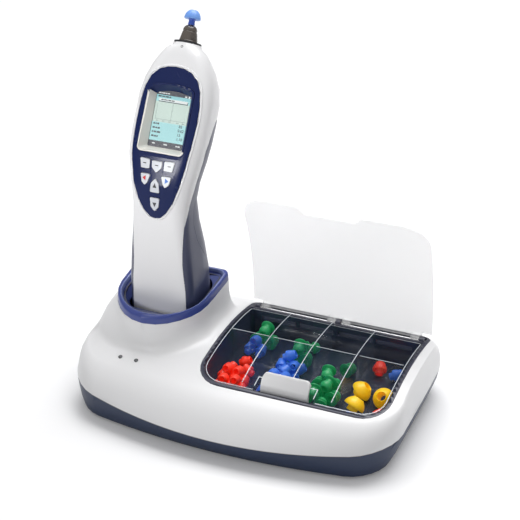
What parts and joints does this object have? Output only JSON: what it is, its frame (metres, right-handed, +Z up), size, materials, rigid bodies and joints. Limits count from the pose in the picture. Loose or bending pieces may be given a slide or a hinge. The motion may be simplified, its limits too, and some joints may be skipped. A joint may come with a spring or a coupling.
{
  "type": "tympanometer",
  "caption": "Hand-held middle ear tester standing in a charging cradle, with a hinged clear lid over a divided tray of soft ear tips.",
  "frame": {"origin": "middle of the base on the table", "axes": "+X to the right seen from the front, +Y to the back, +Z up"},
  "size_m": [0.304, 0.197, 0.33],
  "materials": {
    "white_shell": "smooth satin white",
    "navy_shell": "satin navy",
    "collar_blue": "satin blue",
    "dark_plastic": "dark moulded plastic",
    "grey_plastic": "grey moulded plastic",
    "clear_plastic": "clear moulded plastic",
    "frosted_plastic": "frosted clear plastic",
    "rubber": "soft rubber",
    "steel": "bright steel",
    "brass": "plated contact",
    "board": "circuit board",
    "tip_red": "soft red silicone",
    "tip_green": "soft green silicone",
    "tip_blue": "soft blue silicone",
    "tip_yellow": "soft yellow silicone",
    "screen": "lit display",
    "bezel": "silver paint",
    "key_grey": "grey-white key",
    "smoky_plastic": "smoky translucent plastic"
  },
  "bodies": {
    "base": {"base_top_shell": "white_shell", "base_bottom_shell": "navy_shell", "rubber_feet": "rubber", "base_screws": "steel", "cradle_collar": "collar_blue", "cradle_cup": "navy_shell", "charge_contacts": "brass", "charge_board": "board", "status_lights": "grey_plastic", "power_inlet": "dark_plastic", "data_socket": "grey_plastic", "tip_well": "navy_shell", "hinge_pin": "steel", "latch_pin": "steel", "latch_spring": "steel"},
    "tray": {"tip_tray": "clear_plastic", "tips_red": "tip_red", "tips_green": "tip_green", "tips_blue": "tip_blue", "tips_yellow": "tip_yellow"},
    "lid": {"lid": "frosted_plastic"},
    "latch": {"lid_latch": "frosted_plastic"},
    "handset": {"handset_front_shell": "white_shell", "handset_rear_shell": "navy_shell", "battery_cover": "navy_shell", "display_panel": "navy_shell", "display_frame": "bezel", "display_window": "clear_plastic", "lcd_module": "screen", "keypad_mat": "grey_plastic", "main_board": "board", "battery_pack": "dark_plastic", "air_pump": "grey_plastic", "pump_tube": "clear_plastic", "nose_ring": "dark_plastic", "probe_body": "dark_plastic", "probe_cap": "smoky_plastic", "handset_contacts": "brass", "handset_screws": "steel"},
    "key_left_soft": {"key_left_soft": "key_grey"},
    "key_menu": {"key_menu": "key_grey"},
    "key_right_soft": {"key_right_soft": "key_grey"},
    "key_left": {"key_left": "key_grey"},
    "key_right": {"key_right": "key_grey"},
    "key_up": {"key_up": "key_grey"},
    "key_down": {"key_down": "key_grey"},
    "ear_tip": {"ear_tip": "tip_blue"}
  },
  "joints": [
    {"name": "tray_lift", "type": "slide", "parent": "base", "child": "tray", "axis": [0, 0, 1], "range_m": [0, 0.06]},
    {"name": "lid_hinge", "type": "hinge", "parent": "base", "child": "lid", "pos_m": [0.05, 0.078, 0.04849], "axis": [1, 0, 0], "range_deg": [-12, 75.5]},
    {"name": "latch_hinge", "type": "hinge", "parent": "base", "child": "latch", "pos_m": [0.0485, -0.048, 0.041], "axis": [1, 0, 0], "range_deg": [0, 10], "stiffness_Nm_per_rad": 0.15},
    {"name": "handset_lift", "type": "slide", "parent": "base", "child": "handset", "axis": [0, 0, 1], "range_m": [0, 0.08]},
    {"name": "key_left_soft_press", "type": "slide", "parent": "handset", "child": "key_left_soft", "axis": [0, 0.9848, -0.1736], "range_m": [0, 0.0008], "stiffness_N_per_m": 300},
    {"name": "key_menu_press", "type": "slide", "parent": "handset", "child": "key_menu", "axis": [0, 0.9848, -0.1736], "range_m": [0, 0.0008], "stiffness_N_per_m": 300},
    {"name": "key_right_soft_press", "type": "slide", "parent": "handset", "child": "key_right_soft", "axis": [0, 0.9848, -0.1736], "range_m": [0, 0.0008], "stiffness_N_per_m": 300},
    {"name": "key_left_press", "type": "slide", "parent": "handset", "child": "key_left", "axis": [0, 0.9848, -0.1736], "range_m": [0, 0.0008], "stiffness_N_per_m": 300},
    {"name": "key_right_press", "type": "slide", "parent": "handset", "child": "key_right", "axis": [0, 0.9848, -0.1736], "range_m": [0, 0.0008], "stiffness_N_per_m": 300},
    {"name": "key_up_press", "type": "slide", "parent": "handset", "child": "key_up", "axis": [0, 0.9848, -0.1736], "range_m": [0, 0.0008], "stiffness_N_per_m": 300},
    {"name": "key_down_press", "type": "slide", "parent": "handset", "child": "key_down", "axis": [0, 0.9848, -0.1736], "range_m": [0, 0.0008], "stiffness_N_per_m": 300},
    {"name": "ear_tip_pull", "type": "slide", "parent": "handset", "child": "ear_tip", "axis": [0, 0.4848, 0.8746], "range_m": [0, 0.02]}
  ]
}
